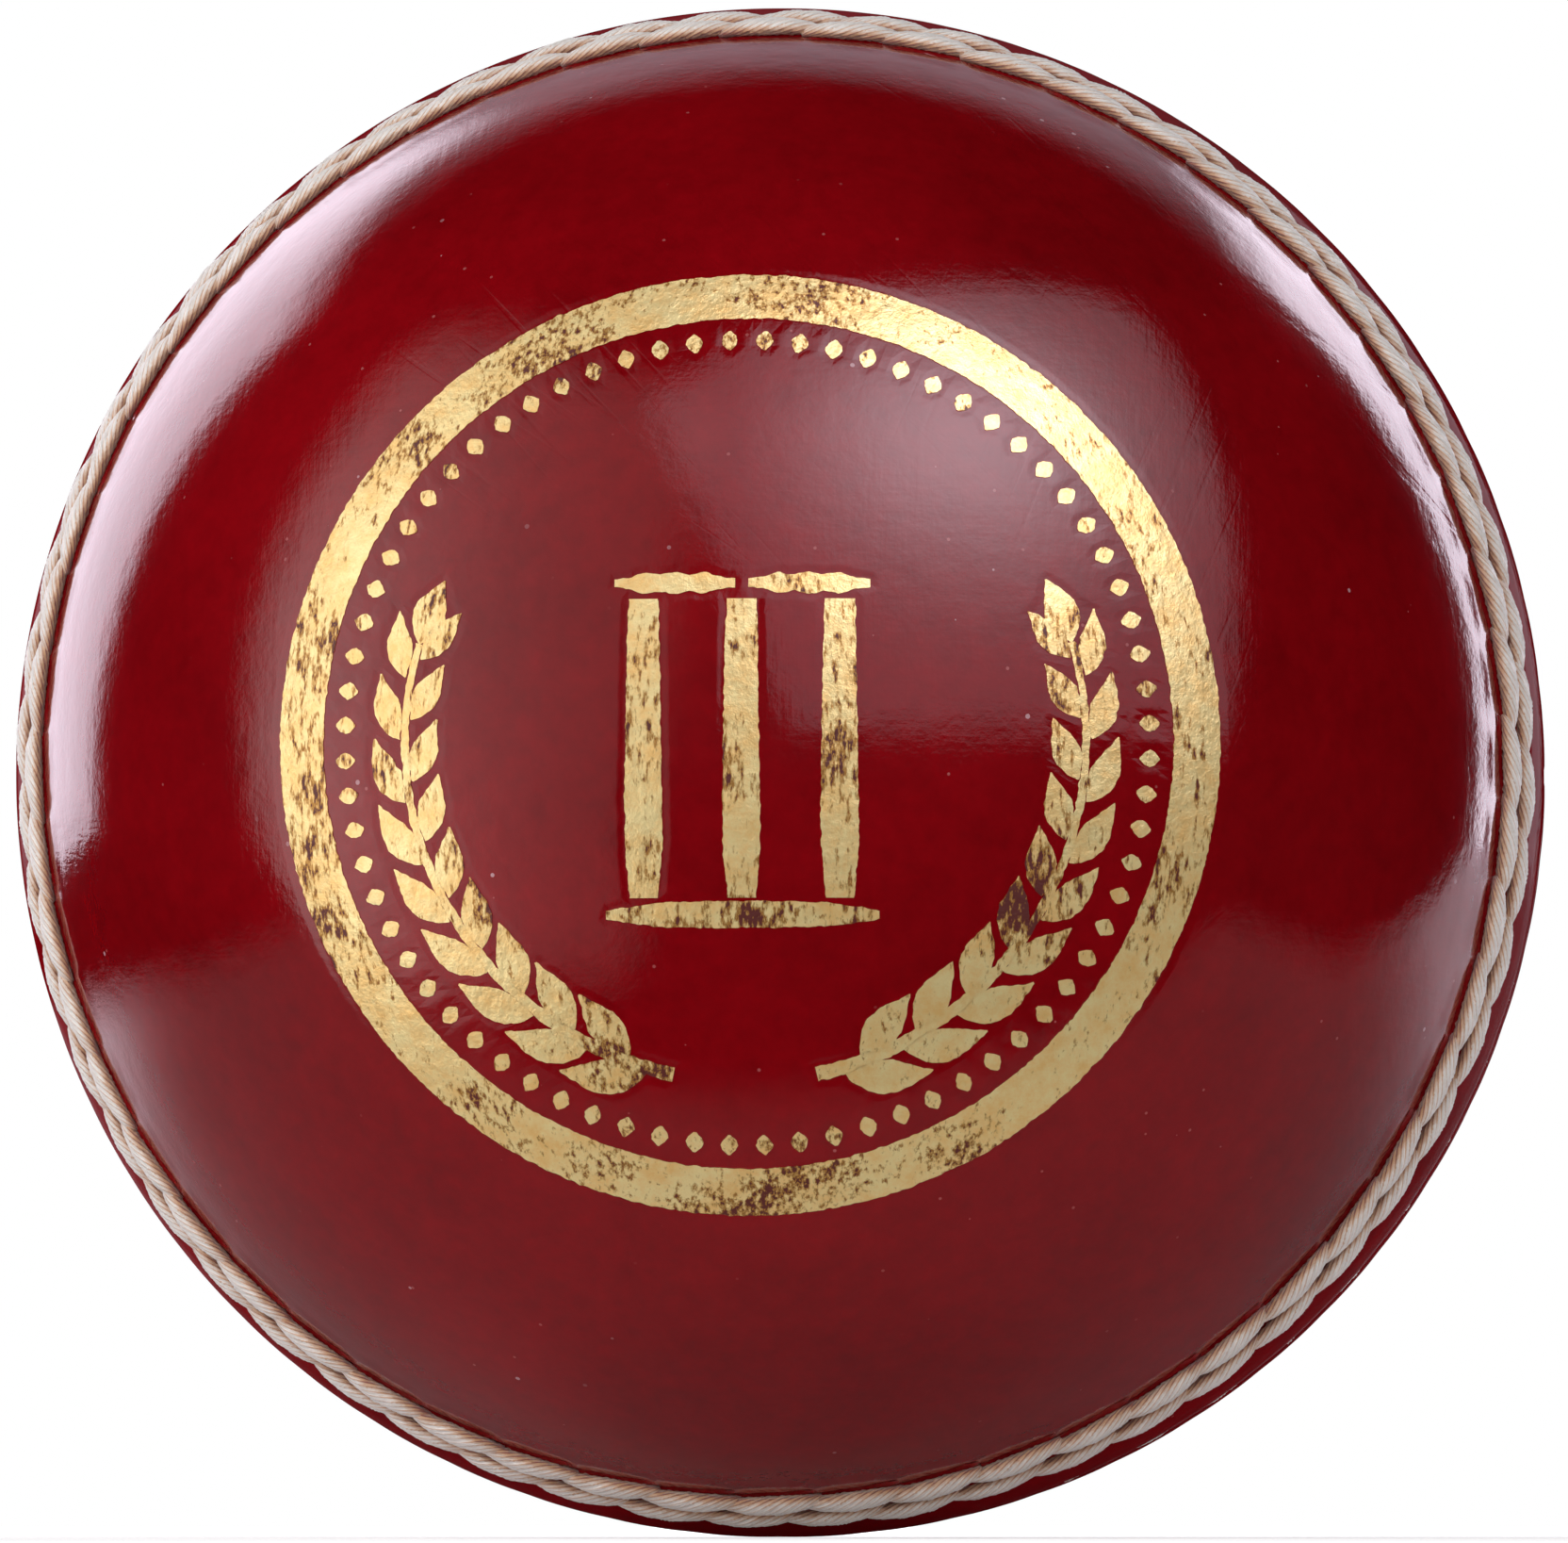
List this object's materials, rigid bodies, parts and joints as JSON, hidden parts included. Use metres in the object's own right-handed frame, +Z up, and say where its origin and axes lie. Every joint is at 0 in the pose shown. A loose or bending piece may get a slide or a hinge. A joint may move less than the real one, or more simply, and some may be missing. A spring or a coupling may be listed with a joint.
{
  "type": "cricket ball",
  "caption": "Hand-stitched leather ball: wound cork and wool core, lined leather quarters and a raised seam of stitched thread round the join.",
  "frame": {"origin": "the centre of the ball", "axes": "+Y runs through the middle of both cheeks, the gold stamp faces -Y and reads upright with +Z up, and the join between the two cups lies in the XZ plane"},
  "size_m": [0.0724, 0.0715, 0.0724],
  "materials": {
    "leather": "deep red hide, dyed, polished and lacquered to a high gloss",
    "seam_thread": "waxed linen thread, three plies twisted, stained by the red dye at its edges",
    "gold_foil": "hot-pressed gold foil, worn through in flecks",
    "cork": "natural sheet cork",
    "cork_nut": "granulated cork bonded with rubber",
    "wool": "tightly wound worsted yarn",
    "lining": "undyed split hide, matt"
  },
  "bodies": {
    "root": {"core_nut": "cork_nut", "wool_winding_1": "wool", "wool_winding_2": "wool", "wool_winding_3": "wool", "wool_winding_4": "wool", "cork_layer_1_piece_1": "cork", "cork_layer_1_piece_2": "cork", "cork_layer_1_piece_3": "cork", "cork_layer_1_piece_4": "cork", "cork_layer_2_piece_1": "cork", "cork_layer_2_piece_2": "cork", "cork_layer_2_piece_3": "cork", "cork_layer_2_piece_4": "cork", "cork_layer_3_piece_1": "cork", "cork_layer_3_piece_2": "cork", "cork_layer_3_piece_3": "cork", "cork_layer_3_piece_4": "cork", "leather_quarter_front_left": "leather", "leather_quarter_front_right": "leather", "leather_quarter_rear_bottom": "leather", "leather_quarter_rear_top": "leather", "quarter_seam_thread_front": "seam_thread", "lining_front": "lining", "stitch_row_front_join": "seam_thread", "stitch_row_front_middle": "seam_thread", "stitch_row_front_outer": "seam_thread", "quarter_seam_thread_rear": "seam_thread", "lining_rear": "lining", "stitch_row_rear_join": "seam_thread", "stitch_row_rear_middle": "seam_thread", "stitch_row_rear_outer": "seam_thread", "stamp_ring": "gold_foil", "stamp_wicket": "gold_foil", "stamp_branch_left": "gold_foil", "stamp_branch_right": "gold_foil"}
  },
  "joints": []
}
